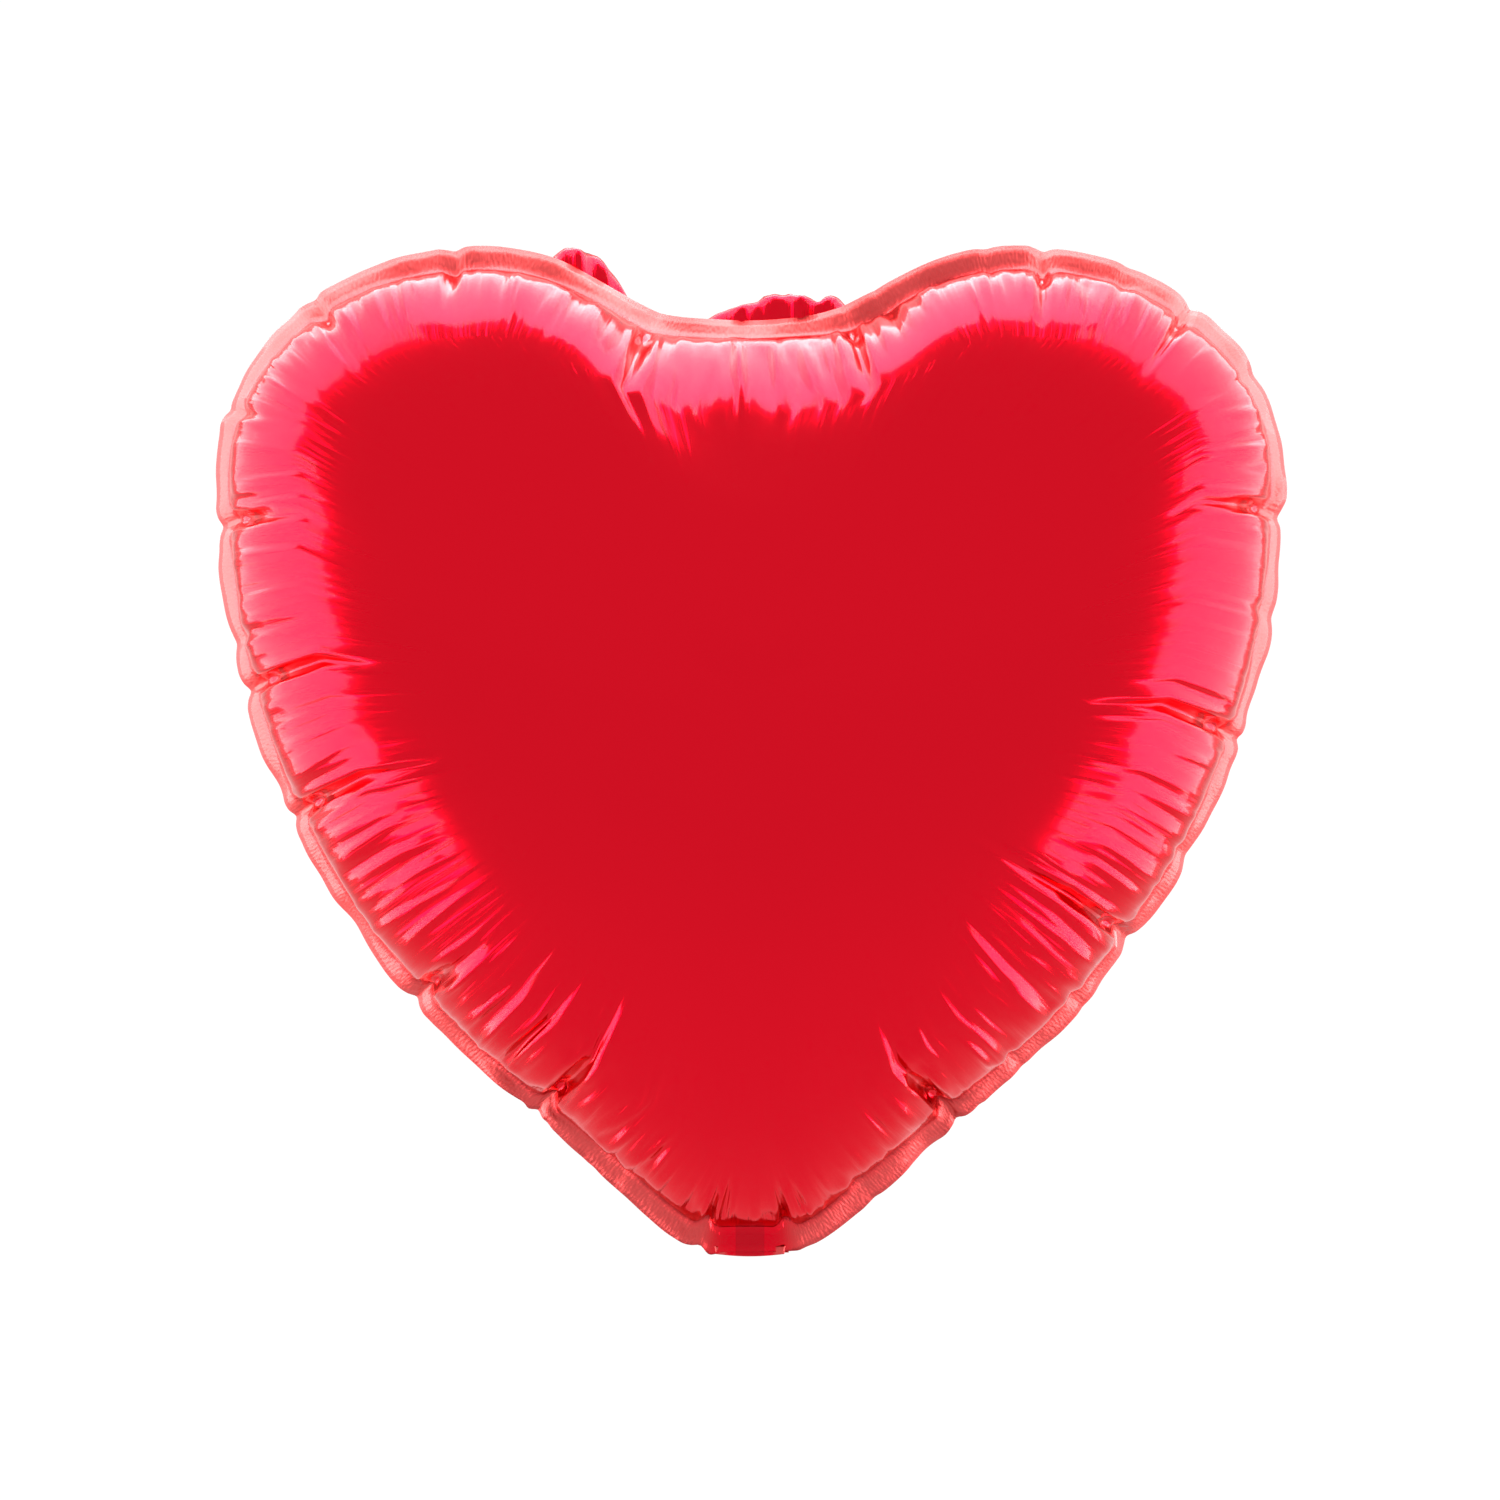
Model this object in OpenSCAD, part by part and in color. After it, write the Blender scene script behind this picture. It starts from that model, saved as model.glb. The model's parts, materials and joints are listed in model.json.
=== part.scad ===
// Heart-shaped foil balloon: two foil panels sealed round their edge, with a flat
// filling tail folded up behind the tip and a self-sealing film valve inside it.
// X runs across the heart, Y from front to back and Z up. The origin is the middle
// of the crease where the tail folds, which is also where the balloon is tied.

/* [Heart] */
// Width over the sealed edge
heart_w = 385; // [300:5:480]
// Height from the tail's crease to the top of the lobes
heart_h = 364; // [300:4:450]
// Thickness at the middle, front to back
heart_d = 200; // [100:4:260]
// Distance between the tops of the two lobes
lobe_spacing = 186; // [140:2:230]
// How far the cleft dips below the tops of the lobes
cleft_drop = 24; // [10:1:60]
// How far the widest line lies below the tops of the lobes
shoulder_drop = 84; // [65:1:110]

/* [Tip] */
// Half width where the straight flanks turn into the rounded tip
tip_half_w = 46; // [36:1:60]
// Height of that turn above the tail's crease
tip_h = 20; // [14:1:30]
// Slope of the flanks as they reach the tip, from the horizontal
flank_angle = 40; // [30:1:50]

/* [Film] */
// Gauge of the foil panels and of the tail's plies
foil_t = 0.2; // [0.1:0.05:0.4]
// Gauge of one valve film
valve_t = 0.1; // [0.05:0.05:0.2]
// Width of the heat-sealed band round the edge
weld_w = 9; // [5:0.5:12]

/* [Tail] */
// Width of the filling tail
tail_w = 28; // [22:1:34]
// Length of the tail from its crease to its open end
tail_l = 84; // [50:2:110]
// Angle of the folded tail above the horizontal, behind the tip
tail_lift = 34; // [10:1:45]
// Radius of the cut corners' rounding at the tail's open end
tail_corner_r = 4; // [1:0.5:8]
// Clearance between the heart and the tail folded up against it
fold_clearance = 0.4; // [0.3:0.05:0.6]

/* [Valve] */
// Width of the two valve films
valve_w = 20; // [12:1:21]
// Length of the valve's tongue, which reaches up inside the heart
tongue_l = 70; // [40:2:90]
// How far the valve films stop short of the tail's open end
mouth_setback = 6; // [2:1:12]
// Clearance round the root of the tongue, where it flexes
tongue_gap = 0.4; // [0.3:0.05:0.6]

/* [Hidden] */

foil_red = [0.80, 0.02, 0.12];
weld_red = [0.62, 0.05, 0.10];
film_clear = [0.88, 0.90, 0.92, 0.6];

// Bezier handles, as shares of the stretch that they round
round_share = 0.5523;
cleft_share = 0.50;
lobe_share = 0.42;
flank_top_share = 0.57;
flank_tip_share = 0.19;
tip_share = 0.50;
steps_cleft = 9;
steps_shoulder = 13;
steps_flank = 16;
steps_tip = 5;
steps_neck = 4;

// The dome's height is that of an inflated flat bag: sqrt(1 - s^3) from its middle,
// s = 0, to its seam, s = 1. Near the narrow tip it runs out to a flatter cone.
dome_power = 3;
side_exponent = 0.5;
tip_exponent = 0.82;
tip_spread = 26;
centre_share = 0.55;
dome_levels = [0.16, 0.32, 0.46, 0.58, 0.68, 0.77, 0.84, 0.90, 0.945, 0.975, 0.992, 1];

half_w = heart_w / 2;
half_d = heart_d / 2;
lobe_x = lobe_spacing / 2;
cleft_z = heart_h - cleft_drop;
wide_z = heart_h - shoulder_drop;
neck_x = tail_w / 2;
centre = [0, heart_h * centre_share];

// Heart and tail each end this far from the crease, so that their inner corners
// keep fold_clearance between them when the tail is folded right up
fold_half_angle = (90 - tail_lift) / 2;
crease_gap = (fold_clearance / 2 + (foil_t + valve_t) * cos(fold_half_angle)) / sin(fold_half_angle);

// The neck films end just past the seam's inner edge, where the panels part, and
// the tongue swings about the middle of the gap above them
parting_z = crease_gap + weld_w + foil_t;
neck_top_z = parting_z + tongue_gap;
tongue_root_z = neck_top_z + tongue_gap;

function bezier(a, b, c, d, t) =
    a * pow(1 - t, 3) + 3 * b * t * pow(1 - t, 2) + 3 * c * t * t * (1 - t) + d * pow(t, 3);
function stretch(a, b, c, d, steps) = [for (i = [0:steps - 1]) bezier(a, b, c, d, i / steps)];

// One half of the heart's edge, from the cleft over the lobe and down to the neck
cleft = [0, cleft_z];
lobe_top = [lobe_x, heart_h];
widest = [half_w, wide_z];
turn = [tip_half_w, tip_h];
neck = [neck_x, crease_gap];
flank = [cos(flank_angle), sin(flank_angle)];
flank_l = norm(widest - turn);
tip_l = norm(turn - neck);
right_half = concat(
    stretch(cleft, cleft + [lobe_x * cleft_share, 0],
            lobe_top - [lobe_x * lobe_share, 0], lobe_top, steps_cleft),
    stretch(lobe_top, lobe_top + [(half_w - lobe_x) * round_share, 0],
            widest + [0, shoulder_drop * round_share], widest, steps_shoulder),
    stretch(widest, widest - [0, (wide_z - tip_h) * flank_top_share],
            turn + flank * flank_l * flank_tip_share, turn, steps_flank),
    stretch(turn, turn - flank * tip_l * tip_share,
            neck + [tip_l * tip_share / 2, 0], neck, steps_tip),
    [for (i = [0:steps_neck - 1]) [neck_x * (1 - i / steps_neck), crease_gap]]);
bottom = [0, crease_gap];
n_half = len(right_half);
edge = concat(right_half, [bottom],
              [for (i = [n_half - 1:-1:1]) [-right_half[i][0], right_half[i][1]]]);
n_edge = len(edge);

function unit(v) = v / norm(v);
function inward(i) =
    let (along = unit(edge[(i + 1) % n_edge] - edge[(i + n_edge - 1) % n_edge]))
    [along[1], -along[0]];
// The edge moved inwards by d
function inset(d) = [for (i = [0:n_edge - 1]) edge[i] + inward(i) * d];

// How near a point of the edge lies to the direction of the tip, from 0 to 1
function tipness(p) = let (a = atan2(p[0], centre[1] - p[1])) exp(-pow(a / tip_spread, 2));
function dome(s, p) =
    pow(1 - pow(s, dome_power), side_exponent + (tip_exponent - side_exponent) * tipness(p));

// One ring of a panel: the outline drawn in to s about the centre, lifted by the dome
function ring(outline, s, base, rise) =
    [for (p = outline) let (q = centre + (p - centre) * s) [q[0], -base - rise * dome(s, p), q[1]]];
function flat_ring(outline, y) = [for (p = outline) [p[0], y, p[1]]];

module closed_rings(first, rings, last) {
    n = n_edge;
    m = len(rings);
    points = concat([first], [for (r = rings) each r], [last]);
    faces = concat(
        [for (i = [0:n - 1]) [0, 1 + (i + 1) % n, 1 + i]],
        [for (k = [0:m - 2], i = [0:n - 1]) let (a = 1 + k * n, b = a + n, j = (i + 1) % n)
            each [[a + i, a + j, b + j], [a + i, b + j, b + i]]],
        [for (i = [0:n - 1]) let (a = 1 + (m - 1) * n) [m * n + 1, a + i, a + (i + 1) % n]]);
    polyhedron(points, faces, convexity = 4);
}

// A foil panel: the domed sheet with its flat margin, in front of the middle plane
module panel() {
    outer_seam = inset(weld_w);
    inner_seam = inset(weld_w + foil_t);
    front = valve_t + foil_t;
    m = len(dome_levels);
    closed_rings(
        [centre[0], -half_d, centre[1]],
        concat([for (s = dome_levels) ring(outer_seam, s, front, half_d - front)],
               [flat_ring(edge, -front), flat_ring(edge, -valve_t)],
               [for (k = [m - 1:-1:0])
                   ring(inner_seam, dome_levels[k], valve_t, half_d - foil_t - valve_t)]),
        [centre[0], foil_t - half_d, centre[1]]);
}

module front_panel() color(foil_red) panel();
module back_panel() color(foil_red) mirror([0, 1, 0]) panel();

// The fused band between the panels' margins, left open where the valve passes
module edge_weld() color(weld_red)
    rotate([90, 0, 0])
        linear_extrude(2 * valve_t, center = true)
            difference() {
                polygon(edge);
                polygon(inset(weld_w));
                translate([-valve_w / 2, 0]) square([valve_w, 2 * tip_h]);
            }

// A strip of film on one side of the middle plane, from z0 up to z1
module film(z0, z1, side) color(film_clear)
    translate([-valve_w / 2, side < 0 ? -valve_t : 0, z0]) cube([valve_w, valve_t, z1 - z0]);

module neck_front_film() film(crease_gap, neck_top_z, -1);
module neck_back_film() film(crease_gap, neck_top_z, 1);
module tongue_front_film() film(tongue_root_z, tongue_root_z + tongue_l, -1);
module tongue_back_film() film(tongue_root_z, tongue_root_z + tongue_l, 1);

// The tail is drawn hanging straight down from its crease, then folded up behind
module folded() rotate([90 + tail_lift, 0, 0]) children();

module tail_outline() {
    reach = tail_l - tail_corner_r;
    translate([-neck_x, -reach]) square([tail_w, reach - crease_gap]);
    translate([tail_corner_r - neck_x, -tail_l]) square([tail_w - 2 * tail_corner_r, tail_l - reach]);
    for (x = [-1, 1]) translate([x * (neck_x - tail_corner_r), -reach]) circle(tail_corner_r, $fn = 48);
}

module ply(side) color(foil_red) folded()
    translate([0, side < 0 ? -valve_t : valve_t + foil_t, 0])
        rotate([90, 0, 0]) linear_extrude(foil_t) tail_outline();

module tail_front_ply() ply(-1);
module tail_back_ply() ply(1);

module tail_side_welds() color(weld_red) folded()
    rotate([90, 0, 0])
        linear_extrude(2 * valve_t, center = true)
            difference() {
                tail_outline();
                translate([-valve_w / 2, -tail_l]) square([valve_w, tail_l]);
            }

module mouth_front_film() folded() film(mouth_setback - tail_l, -crease_gap, -1);
module mouth_back_film() folded() film(mouth_setback - tail_l, -crease_gap, 1);

front_panel();
back_panel();
edge_weld();
neck_front_film();
neck_back_film();
tongue_front_film();
tongue_back_film();
tail_front_ply();
tail_back_ply();
tail_side_welds();
mouth_front_film();
mouth_back_film();
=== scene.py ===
"""Looks of an inflated heart of metallised foil: two panels sealed round their edge and drawn into
folds by the air inside, a flat filling tail folded up behind the tip, and a film valve in it."""

import json
import math

import bmesh
import bpy
import numpy as np
from bpy.props import FloatProperty, FloatVectorProperty, IntProperty, PointerProperty
from mathutils import Matrix, Vector


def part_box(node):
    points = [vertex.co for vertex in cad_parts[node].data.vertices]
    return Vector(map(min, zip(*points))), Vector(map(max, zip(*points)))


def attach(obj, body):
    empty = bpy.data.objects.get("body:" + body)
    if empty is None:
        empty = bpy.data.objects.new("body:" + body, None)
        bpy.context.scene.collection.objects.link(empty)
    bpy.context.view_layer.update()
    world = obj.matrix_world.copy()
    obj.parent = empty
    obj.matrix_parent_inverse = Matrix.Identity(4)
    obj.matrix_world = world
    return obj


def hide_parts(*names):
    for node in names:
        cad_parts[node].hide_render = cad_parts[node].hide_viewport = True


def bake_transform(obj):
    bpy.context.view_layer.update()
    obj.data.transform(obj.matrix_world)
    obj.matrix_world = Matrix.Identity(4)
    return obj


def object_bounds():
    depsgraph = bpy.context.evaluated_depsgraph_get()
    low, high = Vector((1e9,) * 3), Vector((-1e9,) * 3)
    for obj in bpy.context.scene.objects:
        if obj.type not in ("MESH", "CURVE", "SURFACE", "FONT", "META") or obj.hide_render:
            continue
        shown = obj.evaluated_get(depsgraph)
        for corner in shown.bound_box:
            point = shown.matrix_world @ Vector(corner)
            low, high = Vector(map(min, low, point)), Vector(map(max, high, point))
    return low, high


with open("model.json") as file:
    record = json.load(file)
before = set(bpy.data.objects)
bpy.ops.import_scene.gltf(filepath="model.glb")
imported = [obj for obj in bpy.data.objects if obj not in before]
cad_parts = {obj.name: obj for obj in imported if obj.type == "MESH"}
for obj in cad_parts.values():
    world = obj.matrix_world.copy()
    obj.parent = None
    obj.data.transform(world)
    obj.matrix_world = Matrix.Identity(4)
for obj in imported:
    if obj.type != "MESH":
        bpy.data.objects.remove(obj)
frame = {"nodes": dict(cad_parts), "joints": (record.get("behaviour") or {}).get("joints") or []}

bl_info = {
    "name": "Heart-shaped foil balloon",
    "version": (1, 0, 0),
    "blender": (4, 5, 0),
    "location": "View3D > Sidebar > Balloon",
    "description": "Makes an inflated foil heart with its sealed edge, folded tail and valve",
    "category": "Add Mesh",
}

CAD_BOX = [list(corner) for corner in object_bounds()]
PANEL_LOW, PANEL_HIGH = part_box("front_panel")
TAIL_LOW, TAIL_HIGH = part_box("tail_front_ply")
FILM_LOW, FILM_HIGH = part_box("neck_front_film")
TONGUE_LOW, TONGUE_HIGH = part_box("tongue_front_film")

MM = 0.001
FOIL = 0.2 * MM
FILM = FILM_HIGH.y - FILM_LOW.y
HALF_STACK = FILM + FOIL
HALF_DEPTH = -PANEL_LOW.y
CREASE_GAP = PANEL_LOW.z
HUB = np.array([0.0, 0.55 * PANEL_HIGH.z])

TAIL_RUN = math.hypot(TAIL_HIGH.y, TAIL_HIGH.z)
MOUTH_RUN = math.hypot(*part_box("mouth_front_film")[1].yz)
TAIL_FOLD = next(joint for joint in frame["joints"] if joint["name"] == "tail_fold")
FOLD_ANGLE = math.radians(TAIL_FOLD["range_deg"][1]) / 2
# Half the run of foil that turns at the tail's crease
FOLD_SOFTNESS = 0.0009
# How far the sealed margin leans back on the flanks
FLANK_LEAN = math.radians(62)
# How much the tail draws in at its crease on each side, and over what run it widens again
WAIST, WAIST_RUN = 0.0016, 0.004
# How far the tail's foils run up the neck, above the crease
TAIL_ROOT = 0.0024
# The run over which the tail's waves grow from its crease
TAIL_WAVE_RUN = 0.012

# The sealed edge's folds: place as a share of the way round from the cleft, over the +X
# lobe first, then how far the fold runs into the panel in millimetres, and its strength
FOLDS = [
    (0.028, 35, 1.2), (0.040, 15, 0.8), (0.092, 23, 0.9), (0.140, 28, 0.9), (0.212, 41, 1.0),
    (0.280, 58, 1.1), (0.348, 64, 1.2), (0.423, 50, 1.1), (0.488, 20, 1.0), (0.515, 18, 1.0),
    (0.580, 57, 1.1), (0.630, 35, 1.0), (0.695, 56, 1.1), (0.735, 49, 1.1), (0.785, 34, 1.0),
    (0.820, 14, 0.7), (0.862, 27, 0.8), (0.907, 13, 0.8), (0.972, 45, 1.2),
]
# Small notches, as shares of the edge: each runs on as a short, shallow fold
NOTCHES = [0.075, 0.118, 0.168, 0.242, 0.318, 0.372, 0.398, 0.458, 0.750]
# How far the fine wrinkles reach in from the seam, in millimetres, by place round the edge
WRINKLE_REACH = [(0.0, 34), (0.04, 20), (0.10, 20), (0.19, 30), (0.26, 40), (0.34, 44), (0.43, 44),
                 (0.48, 20), (0.52, 20), (0.57, 44), (0.66, 44), (0.74, 40), (0.81, 30),
                 (0.90, 20), (0.96, 20), (1.0, 34)]

# Long streaks between the two deep folds of the cleft
CLEFT_STREAKS = np.linspace(-0.026, 0.026, 15) % 1.0
# The lights in a ring round the heart, clockwise from the top: share of the brightness, and
# how far each reaches in front of the seam's plane, in metres
LIGHTS = [(1.6, 0.00), (1.1, 0.15), (1.0, 0.42), (1.0, 0.72),
          (0.35, 0.10), (1.0, 0.72), (1.0, 0.42), (1.1, 0.15)]
# Width of a light as a share of the ring's radius
LIGHT_WIDTH = 0.84


# ---------------------------------------------------------------- sizes that a user may change

class BALLOON_PG_air(bpy.types.PropertyGroup):
    """How the panels are cut and blown up"""
    margin: FloatProperty(name="Sealed margin", description="Width of the sealed band",
                          default=0.009, unit="LENGTH")
    flat_share: FloatProperty(name="Flat size", description="Flat heart over inflated heart",
                              default=1.187)
    pressure: FloatProperty(name="Pressure", description="Push of the gas on the panels",
                            default=20.0)
    frames: IntProperty(name="Frames", description="Steps that the air takes to go in", default=40)
    around: IntProperty(name="Points round", description="Points round the seam", default=400)
    finer: IntProperty(name="Finer", description="Times as many points for the creases", default=3)


class BALLOON_PG_creases(bpy.types.PropertyGroup):
    """Folds and wrinkles that the full panels show"""
    fold_depth: FloatProperty(name="Fold depth", description="Depth of a fold beside the seam",
                              default=0.0046, unit="LENGTH")
    crown: FloatProperty(name="Crown", description="Bulge of the foil between two folds",
                         default=0.0016, unit="LENGTH")
    wrinkles: IntProperty(name="Wrinkles", description="Fine wrinkles on each panel", default=760)
    wrinkle_height: FloatProperty(name="Wrinkle height", description="Height of a fine wrinkle",
                                  default=0.00055, unit="LENGTH")
    cleft_rise: FloatProperty(name="Cleft rise", default=0.021, unit="LENGTH",
                              description="How far the back panel stands above the cleft")


class BALLOON_PG_finish(bpy.types.PropertyGroup):
    """Colours and gloss"""
    foil: FloatVectorProperty(name="Foil", description="Reflection of the coated metal", size=3,
                              subtype="COLOR", default=(0.60, 0.0005, 0.011))
    seal: FloatVectorProperty(name="Seal", description="Reflection of the pressed margin", size=3,
                              subtype="COLOR", default=(0.55, 0.06, 0.06))
    rim: FloatVectorProperty(name="Rim tint", description="Tint where the foil turns away", size=3,
                             subtype="COLOR", default=(1.0, 0.55, 0.55))
    gloss: FloatProperty(name="Roughness", description="Roughness of the smooth foil",
                         default=0.16, subtype="FACTOR")
    coat: FloatProperty(name="Lacquer", description="Weight of the clear lacquer", default=0.12,
                        subtype="FACTOR")


class BALLOON_PG_stage(bpy.types.PropertyGroup):
    """Camera and light"""
    distance: FloatProperty(name="Distance", description="From the camera to the seam's plane",
                            default=2.0, unit="LENGTH")
    view_width: FloatProperty(name="View width", description="Width that the camera takes in",
                              default=0.542, unit="LENGTH")
    floor_drop: FloatProperty(name="Floor drop", description="Floor below the tip", default=0.45,
                              unit="LENGTH")
    sky: FloatProperty(name="Surroundings", description="Brightness all round", default=1.05)
    light: FloatProperty(name="Lights", description="Brightness of the ring of soft lights",
                         default=7.0)
    light_length: FloatProperty(name="Light length", description="Length of a light along Y",
                                default=1.5, unit="LENGTH")
    ring: FloatProperty(name="Ring radius", description="From the heart's middle to a light",
                        default=1.15, unit="LENGTH")


# ---------------------------------------------------------------- shader helpers

class Term:
    """An output socket that can be added, subtracted, multiplied and divided."""

    def __init__(self, finish, socket):
        self.finish = finish
        self.socket = socket

    def math(self, operation, *others, clamp=False):
        return self.finish.node("ShaderNodeMath", {"operation": operation, "use_clamp": clamp},
                                {i: v for i, v in enumerate((self, *others))})

    def __add__(self, other):
        return self.math("ADD", other)

    def __sub__(self, other):
        return self.math("SUBTRACT", other)

    def __rsub__(self, other):
        return self.finish.node("ShaderNodeMath", {"operation": "SUBTRACT"}, {0: other, 1: self})

    def __mul__(self, other):
        return self.math("MULTIPLY", other)

    def __truediv__(self, other):
        return self.math("DIVIDE", other)

    def __rtruediv__(self, other):
        return self.finish.node("ShaderNodeMath", {"operation": "DIVIDE"}, {0: other, 1: self})

    __radd__ = __add__
    __rmul__ = __mul__

    def clamped(self):
        return self.math("ADD", 0.0, clamp=True)


class Finish:
    """A material under construction."""

    def __init__(self, name):
        self.material = bpy.data.materials.new(name)
        self.material.use_nodes = True
        self.tree = self.material.node_tree
        self.tree.nodes.clear()

    def node(self, kind, settings=None, values=None, output=0):
        """Adds a node: its settings first, then the values or links of its inputs."""
        made = self.tree.nodes.new(kind)
        for name, value in (settings or {}).items():
            setattr(made, name, value)
        for name, value in (values or {}).items():
            if isinstance(value, Term):
                self.tree.links.new(value.socket, made.inputs[name])
            else:
                made.inputs[name].default_value = value
        return Term(self, made.outputs[output])

    def part(self, vector, axis):
        """One number, X, Y or Z, of a vector."""
        return self.node("ShaderNodeSeparateXYZ", values={"Vector": vector}, output=axis)

    def stretched_noise(self, place, scale, detail=2.0, dimensions="2D"):
        spread = self.node("ShaderNodeMapping", values={"Vector": place, "Scale": scale})
        return self.node("ShaderNodeTexNoise", {"noise_dimensions": dimensions},
                         {"Vector": spread, "Scale": 1.0, "Detail": detail})

    def blend_colour(self, share, first, second):
        return self.node("ShaderNodeMix", {"data_type": "RGBA"},
                         {"Factor": share, 6: (*first, 1.0), 7: (*second, 1.0)}, output=2)

    def surface(self, values):
        shader = self.node("ShaderNodeBsdfPrincipled", values=values)
        end = self.tree.nodes.new("ShaderNodeOutputMaterial")
        self.tree.links.new(shader.socket, end.inputs["Surface"])
        return self.material


# Heights of the foil's finest relief: streaks by the seam, broad dents, and ribs in the margin
STREAK_HEIGHT, DENT_HEIGHT, RIB_HEIGHT = 0.00042, 0.00035, 0.00022
# Painted shade: a darker patch of the foil's colour at the narrow neck, over the valve
NECK_SHADE_HALF_WIDTH, NECK_SHADE_TOP, NECK_SHADE_SHARE = 0.0052, 0.0110, 0.45
NECK_SHADE_COLOUR = (0.30, 0.004, 0.010, 1.0)


def foil_finish(name, look):
    """Coated metal: mirror-like on the panel, pressed and duller in the sealed margin."""
    finish = Finish(name)
    place = finish.node("ShaderNodeUVMap", {"uv_map": "seam"})
    inward = finish.part(place, "Y")
    margin = finish.node("ShaderNodeAttribute", {"attribute_name": "margin"}, output="Fac")
    streaks = finish.stretched_noise(place, (620.0, 28.0, 1.0))
    reach = finish.stretched_noise(place, (260.0, 0.0, 1.0), detail=0.0) * 0.075 + 0.008
    band = (1.0 - inward / reach).clamped() * (1.0 - margin)
    where = finish.node("ShaderNodeTexCoord", output="Object")
    dents = finish.stretched_noise(where, (16.0, 16.0, 16.0), detail=1.0, dimensions="3D")
    ribs = finish.stretched_noise(place, (1100.0, 420.0, 1.0), detail=0.0)
    height = streaks * band * STREAK_HEIGHT + dents * DENT_HEIGHT + ribs * margin * RIB_HEIGHT
    bump = finish.node("ShaderNodeBump", values={"Strength": 1.0, "Distance": 1.0, "Height": height})
    scuffs = finish.stretched_noise(where, (60.0, 60.0, 60.0), detail=3.0, dimensions="3D")
    # Painted shade: the foil's colour is darkened in a narrow patch at the neck
    middle = finish.part(where, "X").math("ABSOLUTE").math("LESS_THAN", NECK_SHADE_HALF_WIDTH)
    neck_shade = middle * finish.part(where, "Z").math("LESS_THAN", NECK_SHADE_TOP)
    plain = finish.blend_colour(margin, look.foil, look.seal)
    colour = finish.node("ShaderNodeMix", {"data_type": "RGBA"},
                         {"Factor": neck_shade * NECK_SHADE_SHARE, 6: plain, 7: NECK_SHADE_COLOUR}, output=2)
    return finish.surface({
        "Base Color": colour,
        "Metallic": 1.0,
        "Roughness": look.gloss - 0.02 + scuffs * 0.04 + margin * 0.34,
        "Specular Tint": (*look.rim, 1.0),
        "Coat Weight": look.coat,
        "Coat Roughness": 0.08,
        "Normal": bump,
    })


def seal_finish(name, look):
    """The fused layer that shows as a line along the cut edge."""
    finish = Finish(name)
    where = finish.node("ShaderNodeTexCoord", output="Object")
    grain = finish.stretched_noise(where, (900.0, 900.0, 900.0), dimensions="3D")
    bump = finish.node("ShaderNodeBump", values={"Strength": 0.4, "Distance": 0.0002, "Height": grain})
    dark = tuple(0.7 * part for part in look.seal)
    return finish.surface({
        "Base Color": finish.blend_colour(grain, dark, look.seal),
        "Metallic": 0.8,
        "Roughness": 0.32 + grain * 0.12,
        "Coat Weight": look.coat,
        "Normal": bump,
    })


def film_finish(name):
    """Clear film with a faint haze."""
    finish = Finish(name)
    where = finish.node("ShaderNodeTexCoord", output="Object")
    haze = finish.stretched_noise(where, (140.0, 140.0, 60.0), detail=3.0, dimensions="3D")
    bump = finish.node("ShaderNodeBump", values={"Strength": 0.3, "Distance": 0.0004, "Height": haze})
    return finish.surface({
        "Base Color": (0.88, 0.90, 0.92, 1.0),
        "Roughness": 0.12 + haze * 0.15,
        "Alpha": 0.35 + haze * 0.25,
        "Coat Weight": 0.5,
        "Normal": bump,
    })


def material(name, make, *details):
    """The material of that name, made the first time that it is asked for."""
    return bpy.data.materials.get(name) or make(name, *details)


# ---------------------------------------------------------------- the heart's pattern

def smoothed(values, width, length):
    """Values round a closed line, averaged over a window of that width."""
    count = len(values)
    reach = max(1, round(width / length * count))
    window = np.hanning(2 * reach + 1)
    window /= window.sum()
    flat = values.reshape(count, -1)
    rows = [np.convolve(np.tile(column, 3), window, "same")[count:2 * count] for column in flat.T]
    return np.stack(rows, 1).reshape(values.shape)


def unit_rows(vectors):
    return vectors / np.linalg.norm(vectors, axis=1)[:, None]


def turn_of(points):
    """Clockwise angle round the hub from straight up, in radians from 0 to a full turn."""
    return np.mod(np.arctan2(points[:, 0], points[:, 1] - HUB[1]), 2 * math.pi)


def heart_edge():
    """Corners (x, z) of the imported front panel's cut edge, clockwise from the cleft."""
    mesh = frame["nodes"]["front_panel"].data
    steep, near_seal, digits = 0.1, -1.1 * HALF_STACK, 6
    corners = set()
    for face in mesh.polygons:
        if abs(face.normal.y) < steep and face.center.y > near_seal:
            spots = [mesh.vertices[i].co for i in face.vertices]
            corners |= {(round(spot.x, digits), round(spot.z, digits)) for spot in spots}
    points = np.array(sorted(corners))
    return points[np.argsort(turn_of(points))]


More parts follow.
